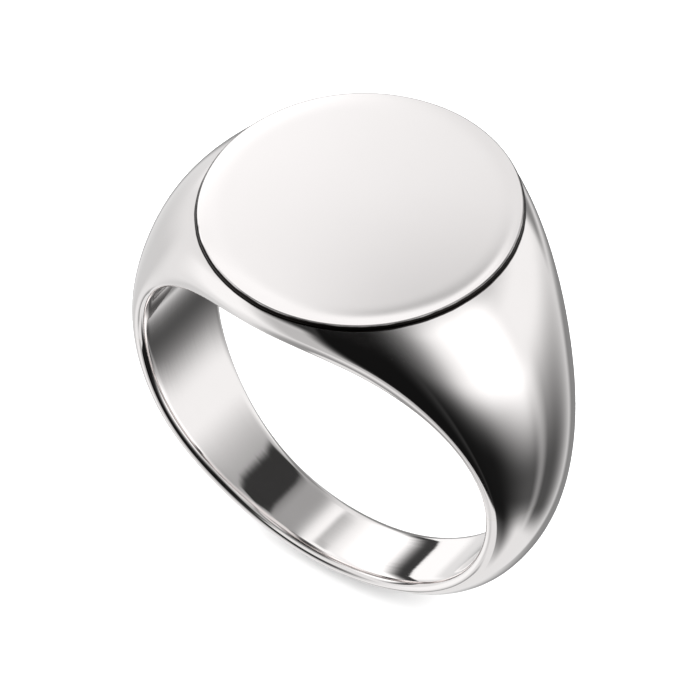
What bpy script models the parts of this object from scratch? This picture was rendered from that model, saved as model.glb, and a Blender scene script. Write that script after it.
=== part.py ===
"""Plain oval signet ring, bench made from three silver pieces joined with silver solder.

The ring is modelled in its own frame: the origin is the centre of the finger hole, +Y runs
along the finger, +X across it, and +Z points up through the middle of the engraving face.
Lengths are metres. Angles round the finger hole start at +Z and grow towards +X.
"""
import math

import bmesh
import bpy
import numpy as np

MM = 0.001

# The finger hole: 19.0 mm across, US size 9, ISO 8653 size 60.
BORE_RADIUS = 9.5 * MM

# The face plate. Its oval, 14.8 by 15.8 mm, is where the head is cut flat to seat it.
FACE_HEIGHT = 11.75 * MM
PLATE_THICKNESS = 0.24 * MM
PLATE_EDGE_RADIUS = 0.05 * MM

# Silver solder films, and the hairline left between separate solids.
FACE_SOLDER_THICKNESS = 0.03 * MM
FACE_SOLDER_RECESS = 0.08 * MM
SHOULDER_SOLDER_THICKNESS = 0.10 * MM
HAIRLINE = 0.01 * MM

# The shank is soldered to the shoulders level with the centre of the finger hole.
JOINT_ANGLE = math.radians(90.0)

# The band's cross-section changes round the finger, so each law has a value at each station.
STATION_ANGLES = [0.0, 30.0, 60.0, 90.0, 120.0, 150.0, 180.0]
HALF_WIDTHS = [7.55 * MM, 6.27 * MM, 4.52 * MM, 3.29 * MM, 2.67 * MM, 2.09 * MM, 1.93 * MM]
CREST_RADII = [14.28 * MM, 13.76 * MM, 12.05 * MM, 11.20 * MM, 11.04 * MM, 10.86 * MM, 10.85 * MM]

# How the outside leaves the rim and rolls over the crest, at four coarser stations.
COARSE_ANGLES = [0.0, 60.0, 120.0, 180.0]
FLANK_LEANS = [-23.0, 5.0, 18.0, 12.0]
FLANK_FULLNESSES = [0.77, 0.40, 0.40, 0.30]
CREST_FULLNESSES = [0.61, 0.51, 0.59, 0.45]

# Comfort rounding between the finger hole and the flanks.
RIM_ROUNDING = 0.45 * MM
ARC_HANDLE = 0.5523

# Mesh fineness.
SECTION_STEP = math.radians(4.5)
RIM_STEPS = 3
FLANK_STEPS = 8

SEAT_HEIGHT = FACE_HEIGHT - PLATE_THICKNESS - FACE_SOLDER_THICKNESS - 2.0 * HAIRLINE
MERGE_DISTANCE = 0.0005 * MM


def station_law(station_angles, values):
    """Smooth curve through the stations, level at the top and at the bottom of the ring."""
    x = np.radians(station_angles)
    y = np.array(values)
    count = len(x)
    matrix = np.zeros((count, count))
    right = np.zeros(count)
    gap = np.diff(x)
    slope = np.diff(y) / gap
    for i in range(count):
        if i > 0:
            matrix[i, i - 1] += gap[i - 1]
            matrix[i, i] += 2.0 * gap[i - 1]
            right[i] -= 6.0 * slope[i - 1]
        if i < count - 1:
            matrix[i, i + 1] += gap[i]
            matrix[i, i] += 2.0 * gap[i]
            right[i] += 6.0 * slope[i]
    bend = np.linalg.solve(matrix, right)

    def law(angle):
        turned = abs(math.remainder(angle, 2.0 * math.pi))
        i = min(int(np.searchsorted(x, turned, side="right")) - 1, count - 2)
        h = gap[i]
        left = (x[i + 1] - turned) / h
        rest = 1.0 - left
        curve = ((left ** 3 - left) * bend[i] + (rest ** 3 - rest) * bend[i + 1]) * h * h / 6.0
        return left * y[i] + rest * y[i + 1] + curve

    return law


half_width = station_law(STATION_ANGLES, HALF_WIDTHS)
crest_radius = station_law(STATION_ANGLES, CREST_RADII)
flank_lean = station_law(COARSE_ANGLES, np.radians(FLANK_LEANS))
flank_fullness = station_law(COARSE_ANGLES, FLANK_FULLNESSES)
crest_fullness = station_law(COARSE_ANGLES, CREST_FULLNESSES)


def bezier(points, t):
    """Point on a cubic curve with four control points."""
    p0, p1, p2, p3 = (np.array(point) for point in points)
    s = 1.0 - t
    return s ** 3 * p0 + 3.0 * s * s * t * p1 + 3.0 * s * t * t * p2 + t ** 3 * p3


def rim_and_flank(angle):
    """Control points, as (y, radius), of the rim rounding and of the outside up to the crest."""
    width = half_width(angle)
    crest = crest_radius(angle)
    lean = flank_lean(angle)
    along = np.array([-math.sin(lean), math.cos(lean)])
    corner = np.array([width, BORE_RADIUS])
    start = corner - np.array([RIM_ROUNDING, 0.0])
    end = corner + RIM_ROUNDING * along
    rim = [start, start + ARC_HANDLE * (corner - start), end + ARC_HANDLE * (corner - end), end]
    reach = flank_fullness(angle) * (crest - end[1])
    top = np.array([0.0, crest])
    flank = [end, end + reach * along, np.array([crest_fullness(angle) * width, crest]), top]
    return rim, flank


def seat_cut(angle, flank):
    """Curve parameter at which the flank reaches the flat seat, or 1 where it stays below it."""
    if math.cos(angle) * flank[3][1] <= SEAT_HEIGHT:
        return 1.0
    low, high = 0.0, 1.0
    for _ in range(40):
        middle = 0.5 * (low + high)
        if bezier(flank, middle)[1] * math.cos(angle) < SEAT_HEIGHT:
            low = middle
        else:
            high = middle
    return low


def half_section(angle):
    """One side of the cross-section, from the edge of the finger hole to the crest or the seat."""
    rim, flank = rim_and_flank(angle)
    cut = seat_cut(angle, flank)
    points = [bezier(rim, i / RIM_STEPS) for i in range(RIM_STEPS)]
    points += [bezier(flank, cut * i / FLANK_STEPS) for i in range(FLANK_STEPS + 1)]
    return points


def tip_angle():
    """Angle at which the crest drops below the flat seat, at the two ends of the oval."""
    low, high = 0.0, math.radians(60.0)
    for _ in range(50):
        middle = 0.5 * (low + high)
        if crest_radius(middle) * math.cos(middle) > SEAT_HEIGHT:
            low = middle
        else:
            high = middle
    return low


def spread(first, last, step):
    """Evenly spaced angles from first to last, about one step apart."""
    count = max(2, round((last - first) / step))
    return [first + (last - first) * i / count for i in range(count + 1)]


def seat_angles():
    """Section angles of half the oval seat, from its middle, crowded towards its end."""
    tip = tip_angle()
    count = 2 * round(tip / SECTION_STEP) + 2
    return [tip * math.sin(0.5 * math.pi * i / count) for i in range(count + 1)]


def head_angles():
    """Section angles of the head and both shoulders, from the left joint to the right one."""
    seat = seat_angles()
    edge = JOINT_ANGLE - flat_offset(BORE_RADIUS)
    right = seat + spread(seat[-1], edge, SECTION_STEP)[1:]
    return [-angle for angle in reversed(right[1:])] + right


def seat_outline():
    """The oval (x, y) outline of the flat seat, anticlockwise from its right-hand end."""
    quarter = []
    for angle in reversed(seat_angles()):
        y, r = half_section(angle)[-1]
        quarter.append((r * math.sin(angle), y))
    back = quarter + [(-x, y) for x, y in reversed(quarter[:-1])]
    return back + [(x, -y) for x, y in reversed(back[1:-1])]


def flat_offset(radius):
    """Angle that half a shoulder joint and its hairline take at the given radius."""
    return math.asin((0.5 * SHOULDER_SOLDER_THICKNESS + HAIRLINE) / radius)


def add_material(name, colour, roughness):
    material = bpy.data.materials.new(name)
    material.use_nodes = True
    shader = material.node_tree.nodes["Principled BSDF"]
    shader.inputs["Base Color"].default_value = (*colour, 1.0)
    shader.inputs["Metallic"].default_value = 1.0
    shader.inputs["Roughness"].default_value = roughness
    return material


def add_object(name, build, material, parent):
    """Finish a bmesh as a named, smooth-shaded object under the ring's empty."""
    bmesh.ops.remove_doubles(build, verts=build.verts, dist=MERGE_DISTANCE)
    bmesh.ops.dissolve_degenerate(build, edges=build.edges, dist=MERGE_DISTANCE)
    bmesh.ops.recalc_face_normals(build, faces=build.faces)
    mesh = bpy.data.meshes.new(name)
    build.to_mesh(mesh)
    build.free()
    mesh.shade_smooth()
    mesh.set_sharp_from_angle(angle=math.radians(30.0))
    mesh.materials.append(material)
    ring_piece = bpy.data.objects.new(name, mesh)
    bpy.context.scene.collection.objects.link(ring_piece)
    ring_piece.parent = parent
    return ring_piece


def section_loop(build, angle, floor=None):
    """Vertices of a whole cross-section: front side from hole to crest, then back side down.

    With a floor, the section lies in the flat plane z = floor instead of turning with the angle.
    """
    side = half_section(angle)
    loop = [(-y, r) for y, r in side] + [(y, r) for y, r in reversed(side)]
    verts = []
    for y, r in loop:
        x = r * math.sin(angle)
        z = r * math.cos(angle)
        if floor is not None:
            x = math.copysign(math.sqrt(r * r - floor * floor), x)
            z = floor
        verts.append(build.verts.new((x, y, z)))
    return verts


def join_loops(build, loops):
    """Skin neighbouring cross-sections and close the two ends."""
    for near, far in zip(loops, loops[1:]):
        for i in range(len(near)):
            j = (i + 1) % len(near)
            build.faces.new((near[i], near[j], far[j], far[i]))
    build.faces.new(loops[0])
    build.faces.new(tuple(reversed(loops[-1])))


def make_swept_body(name, angles, floor, material, parent):
    """Sweep the cross-section through the angles, with flat ends in the plane z = floor."""
    build = bmesh.new()
    loops = [section_loop(build, angles[0], floor)]
    loops += [section_loop(build, angle) for angle in angles[1:-1]]
    loops.append(section_loop(build, angles[-1], floor))
    join_loops(build, loops)
    return add_object(name, build, material, parent)


def make_head_and_shoulders(material, parent):
    floor = 0.5 * SHOULDER_SOLDER_THICKNESS + HAIRLINE
    return make_swept_body("head_and_shoulders", head_angles(), floor, material, parent)


def make_shank(material, parent):
    floor = -0.5 * SHOULDER_SOLDER_THICKNESS - HAIRLINE
    start = JOINT_ANGLE + flat_offset(BORE_RADIUS)
    angles = spread(start, 2.0 * math.pi - start, SECTION_STEP)
    return make_swept_body("shank", angles, floor, material, parent)


def make_shoulder_solder(name, side, material, parent):
    """A thin flat fillet of solder with the band's own outline at the joint."""
    build = bmesh.new()
    half = 0.5 * SHOULDER_SOLDER_THICKNESS
    loops = [section_loop(build, side * JOINT_ANGLE, height) for height in (half, -half)]
    join_loops(build, loops)
    return add_object(name, build, material, parent)


def make_oval(name, profile, material, parent):
    """Stack of ovals, each given as (inset, height) from the bottom up."""
    build = bmesh.new()
    outline = seat_outline()
    reach = max(x for x, y in outline)
    loops = []
    for inset, height in profile:
        scale = 1.0 - inset / reach
        loops.append([build.verts.new((scale * x, scale * y, height)) for x, y in outline])
    join_loops(build, loops)
    return add_object(name, build, material, parent)


def make_face_plate(material, parent):
    bottom = FACE_HEIGHT - PLATE_THICKNESS
    edge = PLATE_EDGE_RADIUS
    corner = edge * (1.0 - math.sqrt(0.5))
    profile = [
        (0.0, bottom),
        (0.0, FACE_HEIGHT - edge),
        (corner, FACE_HEIGHT - corner),
        (edge, FACE_HEIGHT),
    ]
    return make_oval("face_plate", profile, material, parent)


def make_face_solder(material, parent):
    bottom = SEAT_HEIGHT + HAIRLINE
    top = bottom + FACE_SOLDER_THICKNESS
    profile = [(FACE_SOLDER_RECESS, bottom), (FACE_SOLDER_RECESS, top)]
    return make_oval("face_solder", profile, material, parent)


def main():
    for leftover in list(bpy.data.objects):
        bpy.data.objects.remove(leftover)

    silver = add_material("polished_silver", (0.93, 0.92, 0.90), 0.06)
    plate_silver = add_material("plate_silver", (0.94, 0.93, 0.91), 0.08)
    solder = add_material("silver_solder", (0.80, 0.79, 0.74), 0.20)

    ring = bpy.data.objects.new("signet_ring", None)
    bpy.context.scene.collection.objects.link(ring)

    make_face_plate(plate_silver, ring)
    make_face_solder(solder, ring)
    make_head_and_shoulders(silver, ring)
    make_shank(silver, ring)
    make_shoulder_solder("left_shoulder_solder", -1.0, solder, ring)
    make_shoulder_solder("right_shoulder_solder", 1.0, solder, ring)


main()
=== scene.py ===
"""Looks for a plain oval signet ring: finely meshed silver pieces, their finish, the studio."""

import math

import bmesh
import bpy
import numpy as np
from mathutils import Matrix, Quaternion, Vector


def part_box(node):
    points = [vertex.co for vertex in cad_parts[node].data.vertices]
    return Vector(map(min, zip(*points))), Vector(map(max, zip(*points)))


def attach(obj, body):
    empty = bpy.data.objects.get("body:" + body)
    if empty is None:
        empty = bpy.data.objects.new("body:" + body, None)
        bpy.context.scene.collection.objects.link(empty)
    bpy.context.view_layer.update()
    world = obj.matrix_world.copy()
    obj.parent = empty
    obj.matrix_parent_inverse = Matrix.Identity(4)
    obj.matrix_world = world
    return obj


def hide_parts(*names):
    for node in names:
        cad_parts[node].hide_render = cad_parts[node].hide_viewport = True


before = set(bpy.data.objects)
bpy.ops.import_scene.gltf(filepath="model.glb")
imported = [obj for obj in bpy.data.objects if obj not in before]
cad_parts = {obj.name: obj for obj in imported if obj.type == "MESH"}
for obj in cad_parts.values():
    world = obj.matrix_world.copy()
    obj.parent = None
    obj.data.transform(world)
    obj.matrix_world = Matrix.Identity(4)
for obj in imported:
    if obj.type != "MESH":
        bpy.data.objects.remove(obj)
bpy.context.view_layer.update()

# ---------------------------------------------------------------- the ring's own measures
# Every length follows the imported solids. The finger hole's radius is read off the left
# shoulder joint, and the millimetre below is that radius over its 9.5 mm.
BORE_RADIUS = -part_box("left_shoulder_solder")[1].x
MM = BORE_RADIUS / 9.5
SEAT_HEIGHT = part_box("head_and_shoulders")[1].z
PLATE_BOTTOM, FACE_HEIGHT = (corner.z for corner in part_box("face_plate"))
SOLDER_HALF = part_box("left_shoulder_solder")[1].z
SOLDER_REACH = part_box("face_solder")[1].x
RING_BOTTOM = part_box("shank")[0].z

# The cross-section's values at angles round the finger, in degrees from the face's middle,
# as the solids have them.
STATION_ANGLES = [0.0, 30.0, 60.0, 90.0, 120.0, 150.0, 180.0]
HALF_WIDTHS = [7.55 * MM, 6.27 * MM, 4.52 * MM, 3.29 * MM, 2.67 * MM, 2.09 * MM, 1.93 * MM]
CREST_RADII = [14.28 * MM, 13.76 * MM, 12.05 * MM, 11.20 * MM, 11.04 * MM, 10.86 * MM, 10.85 * MM]
COARSE_ANGLES = [0.0, 60.0, 120.0, 180.0]
FLANK_LEANS = [-23.0, 5.0, 18.0, 12.0]
FLANK_FULLNESSES = [0.77, 0.40, 0.40, 0.30]
CREST_FULLNESSES = [0.61, 0.51, 0.59, 0.45]
# The edge of the finger hole is eased over this much of the flank and of the hole. The
# handles shape its curve, as shares of the way to the sharp corner.
RIM_ROUNDING = 0.45 * MM
RIM_EASE = 0.65 * MM
EASE_HANDLE = 0.72
ARC_HANDLE = 0.5523
# Where the two shoulder joints lie, round the finger.
RIGHT_JOINT = 0.5 * math.pi
LEFT_JOINT = 1.5 * math.pi

# Fineness of the shown meshes, and of the search for a crossing.
SECTION_STEP = math.radians(1.0)
SEAT_SECTIONS = 48
RIM_STEPS = 10
FLANK_STEPS = 32
BORE_STEPS = 6
HALVINGS = 45
# The extra line beside a joint, as a share of the step between lines.
JOINT_LINE_GAP = 0.45
# Where a line across the flank starts on the rim, for the one that ends at the oval's tip.
TIP_LINE_START = math.radians(48.0)
# Vertices closer than the first are made one, edges shorter than the second are dissolved,
# and edges that turn by more than the third are shaded sharp.
WELD_DISTANCE = 0.0002 * MM
SHORTEST_EDGE = 0.0001 * MM
SHARP_ANGLE = math.radians(35.0)


def station_law(station_angles, values):
    """Smooth curve through the stations, level at the top and at the bottom of the ring."""
    x = np.radians(station_angles)
    y = np.array(values)
    count = len(x)
    matrix = np.zeros((count, count))
    right = np.zeros(count)
    gap = np.diff(x)
    slope = np.diff(y) / gap
    for i in range(count):
        if i > 0:
            matrix[i, i - 1] += gap[i - 1]
            matrix[i, i] += 2.0 * gap[i - 1]
            right[i] -= 6.0 * slope[i - 1]
        if i < count - 1:
            matrix[i, i + 1] += gap[i]
            matrix[i, i] += 2.0 * gap[i]
            right[i] += 6.0 * slope[i]
    bend = np.linalg.solve(matrix, right)

    def law(angle):
        turned = abs(math.remainder(angle, 2.0 * math.pi))
        i = min(int(np.searchsorted(x, turned, side="right")) - 1, count - 2)
        h = gap[i]
        left = (x[i + 1] - turned) / h
        rest = 1.0 - left
        curve = ((left ** 3 - left) * bend[i] + (rest ** 3 - rest) * bend[i + 1]) * h * h / 6.0
        return left * y[i] + rest * y[i + 1] + curve

    return law


half_width = station_law(STATION_ANGLES, HALF_WIDTHS)
crest_radius = station_law(STATION_ANGLES, CREST_RADII)
flank_lean = station_law(COARSE_ANGLES, np.radians(FLANK_LEANS))
flank_fullness = station_law(COARSE_ANGLES, FLANK_FULLNESSES)
crest_fullness = station_law(COARSE_ANGLES, CREST_FULLNESSES)


def bezier(points, t):
    p0, p1, p2, p3 = points
    s = 1.0 - t
    return s ** 3 * p0 + 3.0 * s * s * t * p1 + 3.0 * s * t * t * p2 + t ** 3 * p3


def rim_and_flank(angle):
    """Control points, as (y, radius), of the rim rounding and of the outside up to the crest."""
    width = half_width(angle)
    crest = crest_radius(angle)
    lean = flank_lean(angle)
    along = np.array([-math.sin(lean), math.cos(lean)])
    corner = np.array([width, BORE_RADIUS])
    start = corner - np.array([RIM_EASE, 0.0])
    end = corner + RIM_ROUNDING * along
    rim = [start, start + EASE_HANDLE * (corner - start), end + ARC_HANDLE * (corner - end), end]
    reach = flank_fullness(angle) * (crest - end[1])
    top = np.array([0.0, crest])
    flank = [end, end + reach * along, np.array([crest_fullness(angle) * width, crest]), top]
    return rim, flank


def halve(low, high, is_low):
    """Where is_low turns false between low and high, by halving the gap."""
    for _ in range(HALVINGS):
        middle = 0.5 * (low + high)
        if is_low(middle):
            low = middle
        else:
            high = middle
    return low


def seat_cut(angle):
    """Curve parameter at which the flank reaches the flat seat, or 1 where it stays below it."""
    flank = rim_and_flank(angle)[1]
    if math.cos(angle) * flank[3][1] <= SEAT_HEIGHT:
        return 1.0
    return halve(0.0, 1.0, lambda t: bezier(flank, t)[1] * math.cos(angle) < SEAT_HEIGHT)


TIP_ANGLE = halve(0.0, 1.0, lambda angle: crest_radius(angle) * math.cos(angle) > SEAT_HEIGHT)


def ring_point(angle, y, radius):
    """Point of the ring at an angle round the finger hole, off the middle by y."""
    return Vector((radius * math.sin(angle), y, radius * math.cos(angle)))


def flank_point(angle, t):
    return bezier(rim_and_flank(angle)[1], t)


def seat_angle(share):
    """Angle at which a line meets the oval's edge, from its middle at 0 to its tip at 1."""
    return TIP_ANGLE * math.sin(0.5 * math.pi * share)


# ---------------------------------------------------------------- meshes
def across_line(rim_angle, top_angle):
    """Half of a line across the band, as (angle, y, radius), from the hole's edge upwards.

    The line starts on the rim at rim_angle and drifts to top_angle at the crest or the seat.
    """
    rim = rim_and_flank(rim_angle)[0]
    points = []
    for i in range(RIM_STEPS):
        points.append((rim_angle, *bezier(rim, i / RIM_STEPS)))
    cut = seat_cut(top_angle)
    for i in range(FLANK_STEPS + 1):
        share = i / FLANK_STEPS
        angle = rim_angle + (top_angle - rim_angle) * share
        points.append((angle, *flank_point(angle, cut * share)))
    return points


def close_line(build, half):
    """Vertices of a whole line round the band, from one half: front flank, back flank, hole."""
    rim_angle, edge = half[0][:2]
    loop = [(a, -y, r) for a, y, r in half] + [(a, y, r) for a, y, r in reversed(half)]
    for i in range(1, BORE_STEPS):
        loop.append((rim_angle, edge * (1.0 - 2.0 * i / BORE_STEPS), BORE_RADIUS))
    return [build.verts.new(ring_point(a, y, r)) for a, y, r in loop]


def line_loop(build, rim_angle, top_angle):
    return close_line(build, across_line(rim_angle, top_angle))


def joint_loop(build, side, height):
    """Vertices of the line round the band that lies in the flat plane of a shoulder joint."""
    half = []
    for i, (_, _, radius) in enumerate(across_line(RIGHT_JOINT, RIGHT_JOINT)):
        angle = side * math.acos(height / radius)
        half.append(across_line(angle, angle)[i])
    verts = close_line(build, half)
    for vert in verts:
        vert.co.z = height
    return verts


def spread(first, last, step):
    count = max(2, round((last - first) / step))
    return [first + (last - first) * i / count for i in range(count + 1)]


def beside_joints(first, last, step):
    """Even steps, and one more line close to each end, so that shading runs on over a joint."""
    steps = spread(first, last, step)
    close = JOINT_LINE_GAP * step
    return [first, first + close] + steps[1:-1] + [last - close, last]


def head_lines():
    """(rim angle, top angle) of each line of the head, from the middle to the right joint."""
    lines = []
    for i in range(SEAT_SECTIONS + 1):
        share = i / SEAT_SECTIONS
        lines.append((TIP_LINE_START * share, seat_angle(share)))
    for share in beside_joints(0.0, 1.0, SECTION_STEP / (RIGHT_JOINT - TIP_LINE_START))[1:]:
        rim = TIP_LINE_START + (RIGHT_JOINT - TIP_LINE_START) * share
        lines.append((rim, TIP_ANGLE + (RIGHT_JOINT - TIP_ANGLE) * share))
    return lines


def join(build, loops):
    for near, far in zip(loops, loops[1:]):
        for i in range(len(near)):
            j = (i + 1) % len(near)
            build.faces.new((near[i], near[j], far[j], far[i]))


def skin(build, loops):
    """Join the loops one after another and close both ends."""
    join(build, loops)
    build.faces.new(tuple(reversed(loops[0])))
    build.faces.new(loops[-1])


def finish_piece(name, build, material, cad_node):
    bmesh.ops.remove_doubles(build, verts=build.verts, dist=WELD_DISTANCE)
    bmesh.ops.dissolve_degenerate(build, edges=build.edges, dist=SHORTEST_EDGE)
    if build.calc_volume(signed=True) < 0.0:
        bmesh.ops.reverse_faces(build, faces=build.faces)
    mesh = bpy.data.meshes.new(name)
    build.to_mesh(mesh)
    build.free()
    mesh.shade_smooth()
    mesh.set_sharp_from_angle(angle=SHARP_ANGLE)
    mesh.materials.append(material)
    piece = bpy.data.objects.new(name, mesh)
    bpy.context.scene.collection.objects.link(piece)
    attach(piece, "root")
    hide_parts(cad_node)


def make_head(material):
    build = bmesh.new()
    right = head_lines()
    lines = [(-rim, -top) for rim, top in reversed(right[1:])] + right
    loops = [joint_loop(build, -1.0, SOLDER_HALF)]
    loops += [line_loop(build, rim, top) for rim, top in lines[1:-1]]
    loops.append(joint_loop(build, 1.0, SOLDER_HALF))
    skin(build, loops)
    finish_piece("head_silver", build, material, "head_and_shoulders")


def make_shank(material):
    build = bmesh.new()
    angles = beside_joints(RIGHT_JOINT, LEFT_JOINT, SECTION_STEP)
    loops = [joint_loop(build, 1.0, -SOLDER_HALF)]
    loops += [line_loop(build, angle, angle) for angle in angles[1:-1]]
    loops.append(joint_loop(build, -1.0, -SOLDER_HALF))
    skin(build, loops)
    finish_piece("shank_silver", build, material, "shank")


def make_shoulder_solder(side, name, cad_node, material):
    build = bmesh.new()
    loops = [joint_loop(build, side, height) for height in (SOLDER_HALF, -SOLDER_HALF)]
    skin(build, loops)
    finish_piece(name, build, material, cad_node)


def seat_outline():
    """The oval (x, y) outline of the flat seat, anticlockwise from its right-hand end."""
    quarter = []
    for i in range(SEAT_SECTIONS, -1, -1):
        angle = seat_angle(i / SEAT_SECTIONS)
        y, r = flank_point(angle, seat_cut(angle))
        quarter.append((r * math.sin(angle), max(y, 0.0)))
    quarter[0] = (quarter[0][0], 0.0)
    back = quarter + [(-x, y) for x, y in reversed(quarter[:-1])]
    return back + [(x, -y) for x, y in reversed(back[1:-1])]


def stack_ovals(build, outline, profile, peak):
    """Skin ovals given as (inset, height), from the bottom up to one vertex at the peak."""
    reach = max(y for x, y in outline)
    loops = []
    for inset, height in profile:
        size = 1.0 - inset / reach
        loops.append([build.verts.new((size * x, size * y, height)) for x, y in outline])
    join(build, loops)
    build.faces.new(tuple(reversed(loops[0])))
    centre = build.verts.new((0.0, 0.0, peak))
    for i in range(len(outline)):
        build.faces.new((loops[-1][i], loops[-1][(i + 1) % len(outline)], centre))


# The face plate: its rounded corner, whose top lies a little below the solid's flat face, and
# how far the face rises from there, as a very shallow dome and a roll close to the corner.
EDGE_RADIUS = 0.17 * MM
EDGE_STEPS = 10
EDGE_DROP = 0.05 * MM
DOME_RISE = 0.12 * MM
ROLL_WIDTH = 1.25 * MM
ROLL_DROP = 0.045 * MM
ROLL_STEPS = 24
DOME_STEPS = 20


def crown_point(corner_height, reach, across):
    """(inset, height) of the face at a distance in from its rounded corner."""
    inward = across / (reach - EDGE_RADIUS)
    dome = DOME_RISE * (1.0 - (1.0 - inward) ** 2)
    roll = ROLL_DROP * (1.0 - max(0.0, 1.0 - across / ROLL_WIDTH) ** 3)
    return EDGE_RADIUS + across, corner_height + dome + roll


def make_face_plate(material):
    """The oval plate: upright edge, small rounded corner, face polished off towards its rim."""
    build = bmesh.new()
    outline = seat_outline()
    reach = max(y for x, y in outline)
    corner_height = FACE_HEIGHT - EDGE_DROP
    profile = [(0.0, PLATE_BOTTOM)]
    for i in range(EDGE_STEPS + 1):
        turn = 0.5 * math.pi * i / EDGE_STEPS
        inset = EDGE_RADIUS * (1.0 - math.cos(turn))
        profile.append((inset, corner_height - EDGE_RADIUS * (1.0 - math.sin(turn))))
    for i in range(1, ROLL_STEPS + 1):
        profile.append(crown_point(corner_height, reach, ROLL_WIDTH * i / ROLL_STEPS))
    for i in range(1, DOME_STEPS):
        across = ROLL_WIDTH + (reach - EDGE_RADIUS - ROLL_WIDTH) * i / DOME_STEPS
        profile.append(crown_point(corner_height, reach, across))
    stack_ovals(build, outline, profile, corner_height + DOME_RISE + ROLL_DROP)
    finish_piece("face_silver", build, material, "face_plate")


def make_face_solder(material):
    outline = seat_outline()
    recess = max(x for x, y in outline) - SOLDER_REACH
    build = bmesh.new()
    stack_ovals(build, outline, [(recess, SEAT_HEIGHT), (recess, PLATE_BOTTOM)], PLATE_BOTTOM)
    finish_piece("face_solder_film", build, material, "face_solder")


# ---------------------------------------------------------------- node helpers
def add_node(tree, kind, inputs=(), **settings):
    """A node with its settings, whose inputs are given in order as sockets, values or None."""
    node = tree.nodes.new(kind)
    for name, value in settings.items():
        setattr(node, name, value)
    for socket, value in zip(node.inputs, inputs):
        if isinstance(value, bpy.types.NodeSocket):
            tree.links.new(value, socket)
        elif value is not None:
            socket.default_value = value
    return node


def maths(tree, operation, *values):
    return add_node(tree, "ShaderNodeMath", values, operation=operation).outputs[0]


def smooth_step(tree, value, start, end):
    """0 before start, 1 after end, and smooth between; end may be below start."""
    node = add_node(tree, "ShaderNodeMapRange", (value,), interpolation_type="SMOOTHSTEP")
    low, high = (0.0, 1.0) if start < end else (1.0, 0.0)
    node.inputs["From Min"].default_value = min(start, end)
    node.inputs["From Max"].default_value = max(start, end)
    node.inputs["To Min"].default_value = low
    node.inputs["To Max"].default_value = high
    return node.outputs["Result"]


def noise(tree, vector, scale, detail=2.0, roughness=0.5):
    node = add_node(tree, "ShaderNodeTexNoise")
    tree.links.new(vector, node.inputs["Vector"])
    node.inputs["Scale"].default_value = scale
    node.inputs["Detail"].default_value = detail
    node.inputs["Roughness"].default_value = roughness
    return node.outputs[0]


def blend_range(tree, value, low, high):
    """A 0 to 1 value brought to run from low to high."""
    return maths(tree, "MULTIPLY_ADD", value, high - low, low)


def mix_values(tree, share, first, second):
    """A number that runs from first to second as share runs from 0 to 1."""
    return add_node(tree, "ShaderNodeMix", (share, None, first, second)).outputs[0]


def mix_colours(tree, share, first, second):
    """A colour that runs from first to second as share runs from 0 to 1."""
    node = add_node(tree, "ShaderNodeMix", (share,), data_type="RGBA")
    colours = [socket for socket in node.inputs if socket.type == "RGBA"]
    for socket, value in zip(colours, (first, second)):
        if isinstance(value, bpy.types.NodeSocket):
            tree.links.new(value, socket)
        else:
            socket.default_value = value
    return next(socket for socket in node.outputs if socket.type == "RGBA")


# ---------------------------------------------------------------- materials
# Painted shade: a near-black colour and a higher roughness fill the groove round the face plate,
# standing in for the dark of the deep crevice.
GROOVE_SHADE_COLOUR = (0.018, 0.016, 0.015, 1.0)
GROOVE_SHADE_ROUGHNESS = 0.3
GROOVE_SHADE_BELOW_SEAT = 0.06 * MM
GROOVE_SHADE_UP_PLATE = 0.16 * MM
GROOVE_SHADE_WANDER = 0.03 * MM
GROOVE_SHADE_WAVES = 0.9 / MM
GROOVE_SHADE_FADE = 0.02 * MM

# Soft patches in the silver's tint and in its polish, as the noise's (scale, detail, roughness).
TINT_PATCHES = (0.22 / MM, 3.0, 0.6)
POLISH_PATCHES = (0.8 / MM, 4.0, 0.65)

# Each silver: its brightest and its dullest colour, and its lowest and highest roughness.
BAND_SILVER = ((0.965, 0.940, 0.932), (0.935, 0.905, 0.897), 0.03, 0.07)
FACE_SILVER = ((0.968, 0.940, 0.934), (0.945, 0.915, 0.908), 0.05, 0.10)
SOLDER_SILVER = ((0.950, 0.925, 0.900), (0.920, 0.890, 0.860), 0.05, 0.10)

# Streaks are given as (length, spacing).
EMERY_STREAKS = (3.0 * MM, 0.16 * MM)
EMERY_DEPTH = 0.0011 * MM
EMERY_SHARE_OUTSIDE = 0.06
# The emery lines fade out between these heights above the finger hole's surface.
EMERY_FULL_TO = 0.02 * MM
EMERY_ENDS_AT = 0.12 * MM
FIRST_HAIRLINES = (4.0 * MM, 0.15 * MM)
FIRST_HAIRLINE_TURN = math.radians(35.0)
SECOND_HAIRLINES = (3.0 * MM, 0.22 * MM)
SECOND_HAIRLINE_TURN = math.radians(-50.0)
HAIRLINE_DEPTH = 0.00012 * MM
# A streak's noise has (detail, roughness). A pit is where its noise is below the first edge.
STREAK_DETAIL = (3.0, 0.6)
PIT_NOISE = (9.0 / MM, 2.0, 0.5)
PIT_EDGE = (0.30, 0.36)
PIT_DEPTH = 0.0003 * MM


# Painted shade: this mask marks where the groove round the face plate is painted near-black.
def painted_groove_shade(tree, position):
    """Mask of the painted shade: 1 in the groove round the face plate, 0 elsewhere, with a
    wandering edge.
    """
    height = add_node(tree, "ShaderNodeSeparateXYZ", (position,)).outputs["Z"]
    wander = maths(tree, "SUBTRACT", noise(tree, position, GROOVE_SHADE_WAVES), 0.5)
    ragged = maths(tree, "MULTIPLY_ADD", wander, 2.0 * GROOVE_SHADE_WANDER, height)
    low = SEAT_HEIGHT - GROOVE_SHADE_BELOW_SEAT
    high = PLATE_BOTTOM + GROOVE_SHADE_UP_PLATE
    risen = smooth_step(tree, ragged, low - GROOVE_SHADE_FADE, low + GROOVE_SHADE_FADE)
    ended = smooth_step(tree, ragged, high + GROOVE_SHADE_FADE, high - GROOVE_SHADE_FADE)
    return maths(tree, "MULTIPLY", risen, ended)


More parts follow.
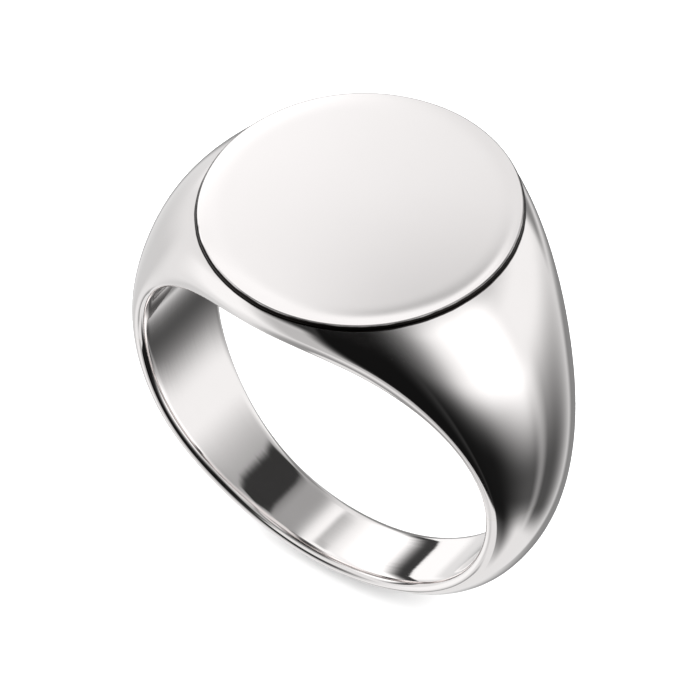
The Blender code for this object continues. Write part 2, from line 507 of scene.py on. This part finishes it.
def silver_base(name, bright, dull, low_roughness, high_roughness):
    """Polished silver whose tint and polish vary in soft patches, with painted shade darkening the
    groove.

    Returns (material, tree, position, shader).
    """
    material = bpy.data.materials.new(name)
    material.use_nodes = True
    tree = material.node_tree
    shader = tree.nodes["Principled BSDF"]
    shader.inputs["Metallic"].default_value = 1.0
    position = add_node(tree, "ShaderNodeTexCoord").outputs["Object"]
    # Mask of the painted shade in the groove round the face plate.
    groove_shade = painted_groove_shade(tree, position)
    tint = noise(tree, position, *TINT_PATCHES)
    silver = mix_colours(tree, tint, (*bright, 1.0), (*dull, 1.0))
    # The colour turns near-black in the groove: painted shade.
    tree.links.new(mix_colours(tree, groove_shade, silver, GROOVE_SHADE_COLOUR), shader.inputs["Base Color"])
    patches = noise(tree, position, *POLISH_PATCHES)
    polish = blend_range(tree, patches, low_roughness, high_roughness)
    roughness = mix_values(tree, groove_shade, polish, GROOVE_SHADE_ROUGHNESS)
    tree.links.new(roughness, shader.inputs["Roughness"])
    return material, tree, position, shader


def brushed(tree, position, turn, along, across):
    """Noise drawn out into streaks of a length and spacing, turned about the upright axis."""
    mapping = add_node(tree, "ShaderNodeMapping", (position,), vector_type="POINT")
    mapping.inputs["Rotation"].default_value = (0.0, 0.0, turn)
    mapping.inputs["Scale"].default_value = (1.0 / along, 1.0 / across, 1.0 / along)
    return noise(tree, mapping.outputs[0], 1.0, *STREAK_DETAIL)


def emboss(tree, shader, height, depth):
    """Bump the shader's surface by a height in which 1 stands for the depth."""
    bump = add_node(tree, "ShaderNodeBump")
    bump.inputs["Strength"].default_value = 1.0
    bump.inputs["Distance"].default_value = depth
    tree.links.new(height, bump.inputs["Height"])
    tree.links.new(bump.outputs[0], shader.inputs["Normal"])


def make_band_silver():
    """Mop-polished outside, and a finger hole that keeps fine lines from its emery stick."""
    material, tree, position, shader = silver_base("band_silver", *BAND_SILVER)
    x, _, z = add_node(tree, "ShaderNodeSeparateXYZ", (position,)).outputs
    squares = maths(tree, "ADD", maths(tree, "MULTIPLY", x, x), maths(tree, "MULTIPLY", z, z))
    height = maths(tree, "SUBTRACT", maths(tree, "SQRT", squares), BORE_RADIUS)
    in_hole = smooth_step(tree, height, EMERY_ENDS_AT, EMERY_FULL_TO)
    lines = brushed(tree, position, 0.0, *EMERY_STREAKS)
    strength = blend_range(tree, in_hole, EMERY_SHARE_OUTSIDE, 1.0)
    emboss(tree, shader, maths(tree, "MULTIPLY", lines, strength), EMERY_DEPTH)
    return material


def make_face_silver():
    """The face is polished flat, with two crossing sets of hairlines that barely show."""
    material, tree, position, shader = silver_base("face_silver", *FACE_SILVER)
    first = brushed(tree, position, FIRST_HAIRLINE_TURN, *FIRST_HAIRLINES)
    second = brushed(tree, position, SECOND_HAIRLINE_TURN, *SECOND_HAIRLINES)
    emboss(tree, shader, maths(tree, "ADD", first, second), HAIRLINE_DEPTH)
    return material


def make_solder():
    """Silver solder: a touch yellower and duller than sterling, with fine pits."""
    material, tree, position, shader = silver_base("silver_solder", *SOLDER_SILVER)
    pits = smooth_step(tree, noise(tree, position, *PIT_NOISE), *PIT_EDGE)
    emboss(tree, shader, pits, PIT_DEPTH)
    return material


# ---------------------------------------------------------------- studio
# What the silver mirrors. Each soft panel spans a range of azimuth (None is all the way
# round) and of elevation, in degrees, as (starts, full, full until, ends), and its tone is
# the square root of its brightness. Azimuth counts from the front towards the right.
BASE_TONE = 0.90
CEILING = (None, (50, 65, 92, 93), 0.45)
LIGHT_HIGH_BEHIND = ((-180, -160, -130, -115), (45, 50, 60, 75), 1.00)
GREY_ABOVE_FACE = ((-160, -155, -150, -143), (43, 50, 50, 55), 0.71)
LIGHT_BEHIND_LEFT = ((-155, -140, -70, -60), (10, 15, 35, 55), 1.08)
LIGHT_LOW_LEFT = ((-90, -70, -50, -30), (-65, -50, -25, -10), 1.00)
GREY_LOW_BEHIND = ((-195, -185, -160, -142), (-75, -50, -35, -20), 0.50)
GREY_BELOW_FACE = ((-175, -160, -140, -130), (-60, -30, 5, 25), 0.50)
LIGHT_RIGHT = ((60, 80, 110, 128), (-40, -30, 20, 35), 1.12)
LIGHT_BEHIND_RIGHT = ((110, 125, 160, 175), (-20, 0, 10, 30), 0.97)
GREY_BEHIND_RIGHT = ((105, 125, 180, 200), (10, 45, 60, 80), 0.62)
GREY_LOW_FRONT = ((-40, -15, 10, 20), (-65, -60, -35, -15), 0.72)
FLOOR_RIGHT = ((45, 80, 116, 132), (-60, -45, -40, -10), 0.28)
FLOOR_BEHIND_RIGHT = ((120, 132, 138, 178), (-60, -50, -41, -4), 0.28)
FLOOR_LEFT = ((-140, -115, -102, -90), (-70, -54, -35, -10), 0.80)
BLACK_LOW_RIGHT = ((50, 55, 75, 115), (-85, -50, -35, -5), 0.10)
BLACK_FLAG = ((0, 15, 39, 94), (-58, -55, 28, 60), 0.08)
BLACK_FLAG_EDGE = ((-40, -20, 10, 15), (-30, -15, 10, 20), 0.18)
LIGHT_BELOW_SLOT = ((-140, -135, -122, -112), (-20, -10, 2, 6), 1.03)
DARK_SLOT = ((-140, -135, -70, -45), (4, 6, 9, 23), 0.20)
DARK_PATCH = ((138, 143, 160, 172), (32, 40, 52, 60), 0.18)
GREY_STRIP_BEHIND = ((164, 172, 180, 195), (-25, -15, 25, 40), 0.50)
GREY_HIGH_BEHIND = ((160, 165, 180, 195), (40, 60, 85, 95), 0.58)
LIGHT_UNDER_FRONT = ((0, 10, 45, 55), (-90, -80, -65, -60), 0.90)
GREY_UNDER_LEFT = ((-110, -100, -25, 0), (-75, -74, -73, -62), 0.55)
# A later panel covers an earlier one.
PANELS = [
    CEILING, LIGHT_HIGH_BEHIND, GREY_ABOVE_FACE, LIGHT_BEHIND_LEFT, LIGHT_LOW_LEFT,
    GREY_LOW_BEHIND, GREY_BELOW_FACE, LIGHT_RIGHT, LIGHT_BEHIND_RIGHT, GREY_BEHIND_RIGHT,
    GREY_LOW_FRONT, FLOOR_RIGHT, FLOOR_BEHIND_RIGHT, FLOOR_LEFT, BLACK_LOW_RIGHT, BLACK_FLAG,
    BLACK_FLAG_EDGE, LIGHT_BELOW_SLOT, DARK_SLOT, DARK_PATCH, GREY_STRIP_BEHIND,
    GREY_HIGH_BEHIND, LIGHT_UNDER_FRONT, GREY_UNDER_LEFT,
]
# The plain white that lights the floor and shows behind the ring, and the pale floor.
ROOM_LIGHT = 2.2
FLOOR_TONE = 0.95
FLOOR_SIZE = 3.0

# The photograph's angle on the ring, the point it looks at, and its distance and lens.
VIEW_AZIMUTH = math.radians(32.76)
VIEW_ELEVATION = math.radians(44.65)
VIEW_ROLL = math.radians(2.76)
VIEW_TARGET = Vector((-0.84 * MM, 0.99 * MM, 1.31 * MM))
VIEW_DISTANCE = 923.7 * MM
CAMERA_LENS = 1029.5


def span_mask(tree, angle, span):
    """1 within a span of (starts, full, full until, ends) degrees, fading to 0 outside it."""
    rising = smooth_step(tree, angle, span[0], span[1])
    falling = smooth_step(tree, angle, span[3], span[2])
    return maths(tree, "MULTIPLY", rising, falling)


def add_panel(tree, tone, azimuth, elevation, panel):
    """The tone in each direction once the panel stands in front of what was there."""
    azimuth_span, elevation_span, panel_tone = panel
    mask = span_mask(tree, elevation, elevation_span)
    if azimuth_span:
        middle = 0.5 * (azimuth_span[0] + azimuth_span[3])
        offset = maths(tree, "WRAP", maths(tree, "SUBTRACT", azimuth, middle), 180.0, -180.0)
        across = span_mask(tree, offset, [edge - middle for edge in azimuth_span])
        mask = maths(tree, "MULTIPLY", mask, across)
    return mix_values(tree, mask, tone, panel_tone)


def make_floor():
    build = bmesh.new()
    bmesh.ops.create_grid(build, x_segments=1, y_segments=1, size=FLOOR_SIZE)
    mesh = bpy.data.meshes.new("floor")
    build.to_mesh(mesh)
    build.free()
    floor = bpy.data.objects.new("floor", mesh)
    floor.location.z = RING_BOTTOM
    material = bpy.data.materials.new("floor_card")
    material.use_nodes = True
    shader = material.node_tree.nodes["Principled BSDF"]
    shader.inputs["Base Color"].default_value = (FLOOR_TONE, FLOOR_TONE, FLOOR_TONE, 1.0)
    shader.inputs["Roughness"].default_value = 1.0
    shader.inputs["Specular IOR Level"].default_value = 0.0
    mesh.materials.append(material)
    bpy.context.scene.collection.objects.link(floor)
    floor.visible_glossy = False


def make_world():
    """Plain white light on the floor, and soft panels and dark flags for the silver to mirror."""
    world = bpy.data.worlds.new("studio")
    world.use_nodes = True
    tree = world.node_tree
    background = tree.nodes["Background"]
    towards = add_node(tree, "ShaderNodeTexCoord").outputs["Generated"]
    x, y, z = add_node(tree, "ShaderNodeSeparateXYZ", (towards,)).outputs
    azimuth = maths(tree, "DEGREES", maths(tree, "ARCTAN2", x, maths(tree, "MULTIPLY", y, -1.0)))
    elevation = maths(tree, "DEGREES", maths(tree, "ARCSINE", z))
    tone = BASE_TONE
    for panel in PANELS:
        tone = add_panel(tree, tone, azimuth, elevation, panel)
    mirrored = maths(tree, "POWER", tone, 2.0)
    glossy = add_node(tree, "ShaderNodeLightPath").outputs["Is Glossy Ray"]
    strength = mix_values(tree, glossy, ROOM_LIGHT, mirrored)
    tree.links.new(strength, background.inputs["Strength"])
    background.inputs["Color"].default_value = (1.0, 1.0, 1.0, 1.0)
    bpy.context.scene.world = world


def direction(azimuth, elevation):
    """Unit vector from the ring towards an azimuth and elevation."""
    flat = math.cos(elevation)
    return Vector((flat * math.sin(azimuth), -flat * math.cos(azimuth), math.sin(elevation)))


def make_camera():
    data = bpy.data.cameras.new("camera")
    data.lens = CAMERA_LENS
    camera = bpy.data.objects.new("camera", data)
    towards = direction(VIEW_AZIMUTH, VIEW_ELEVATION)
    camera.location = VIEW_TARGET + VIEW_DISTANCE * towards
    camera.rotation_mode = "QUATERNION"
    roll = Quaternion((0.0, 0.0, 1.0), VIEW_ROLL)
    camera.rotation_quaternion = (-towards).to_track_quat("-Z", "Y") @ roll
    bpy.context.scene.collection.objects.link(camera)
    bpy.context.scene.camera = camera


def main():
    bpy.context.scene.view_settings.view_transform = "Standard"
    band = make_band_silver()
    face = make_face_silver()
    solder = make_solder()
    make_face_plate(face)
    make_face_solder(solder)
    make_head(band)
    make_shank(band)
    make_shoulder_solder(-1.0, "left_joint_solder", "left_shoulder_solder", solder)
    make_shoulder_solder(1.0, "right_joint_solder", "right_shoulder_solder", solder)
    make_floor()
    make_world()
    make_camera()


main()
